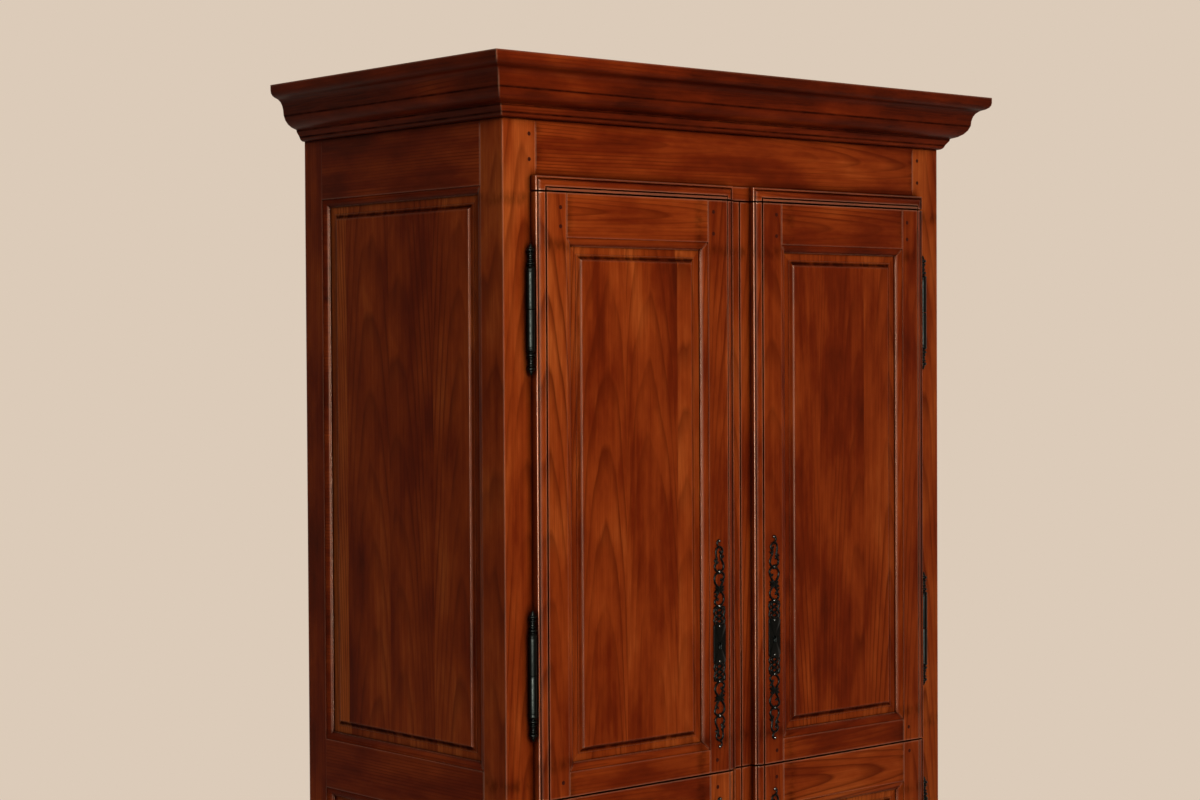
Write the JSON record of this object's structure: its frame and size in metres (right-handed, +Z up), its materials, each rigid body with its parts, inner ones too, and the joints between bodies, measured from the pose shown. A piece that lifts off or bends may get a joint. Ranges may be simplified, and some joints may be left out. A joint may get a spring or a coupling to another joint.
{
  "type": "tv armoire",
  "caption": "Tall wooden armoire for a television: moulded cornice, tall panelled doors over short ones on turned barrel hinges, pierced iron escutcheons, shelves, bracket-foot plinth.",
  "frame": {"origin": "On the floor, midway across the width and midway between the front of the cornice and the back", "axes": "+X to the viewer's right as the doors are faced, +Y from the doors to the back, +Z up"},
  "size_m": [1.306, 0.658, 2.083],
  "materials": {
    "case_wood": "satin",
    "panel_wood": "satin",
    "iron": "satin"
  },
  "bodies": {
    "case": {"front_left_post": "case_wood", "front_right_post": "case_wood", "left_side_frame": "case_wood", "right_side_frame": "case_wood", "left_lower_side_panel": "panel_wood", "left_upper_side_panel": "panel_wood", "right_lower_side_panel": "panel_wood", "right_upper_side_panel": "panel_wood", "frieze_rail": "case_wood", "middle_rail": "case_wood", "bottom_rail": "case_wood", "head_moulding": "case_wood", "cornice": "case_wood", "plinth": "case_wood", "top_board": "case_wood", "back_panel": "case_wood", "bottom_board": "case_wood", "tv_deck": "case_wood", "lower_shelf": "case_wood", "upper_shelf": "case_wood", "upper_left_upper_post_hinge": "iron", "upper_left_lower_post_hinge": "iron", "upper_right_upper_post_hinge": "iron", "upper_right_lower_post_hinge": "iron", "lower_left_upper_post_hinge": "iron", "lower_left_lower_post_hinge": "iron", "lower_right_upper_post_hinge": "iron", "lower_right_lower_post_hinge": "iron"},
    "upper_left_door": {"upper_left_hinge_stile": "case_wood", "upper_left_meeting_stile": "case_wood", "upper_left_top_rail": "case_wood", "upper_left_bottom_rail": "case_wood", "upper_left_panel": "panel_wood", "upper_left_upper_hinge": "iron", "upper_left_lower_hinge": "iron", "upper_left_escutcheon": "iron"},
    "upper_right_door": {"upper_right_hinge_stile": "case_wood", "upper_right_meeting_stile": "case_wood", "upper_right_top_rail": "case_wood", "upper_right_bottom_rail": "case_wood", "upper_right_panel": "panel_wood", "upper_right_upper_hinge": "iron", "upper_right_lower_hinge": "iron", "upper_right_escutcheon": "iron"},
    "lower_left_door": {"lower_left_hinge_stile": "case_wood", "lower_left_meeting_stile": "case_wood", "lower_left_top_rail": "case_wood", "lower_left_bottom_rail": "case_wood", "lower_left_panel": "panel_wood", "lower_left_upper_hinge": "iron", "lower_left_lower_hinge": "iron", "lower_left_escutcheon": "iron"},
    "lower_right_door": {"lower_right_hinge_stile": "case_wood", "lower_right_meeting_stile": "case_wood", "lower_right_top_rail": "case_wood", "lower_right_bottom_rail": "case_wood", "lower_right_panel": "panel_wood", "lower_right_upper_hinge": "iron", "lower_right_lower_hinge": "iron", "lower_right_escutcheon": "iron"}
  },
  "joints": [
    {"name": "upper_left_door_hinge", "type": "hinge", "parent": "case", "child": "upper_left_door", "pos_m": [-0.5205, -0.26, 1.3345], "axis": [0, 0, -1], "range_deg": [0, 170]},
    {"name": "upper_right_door_hinge", "type": "hinge", "parent": "case", "child": "upper_right_door", "pos_m": [0.5205, -0.26, 1.3345], "axis": [0, 0, 1], "range_deg": [0, 170]},
    {"name": "lower_left_door_hinge", "type": "hinge", "parent": "case", "child": "lower_left_door", "pos_m": [-0.5205, -0.26, 0.48125], "axis": [0, 0, -1], "range_deg": [0, 170]},
    {"name": "lower_right_door_hinge", "type": "hinge", "parent": "case", "child": "lower_right_door", "pos_m": [0.5205, -0.26, 0.48125], "axis": [0, 0, 1], "range_deg": [0, 170]}
  ]
}
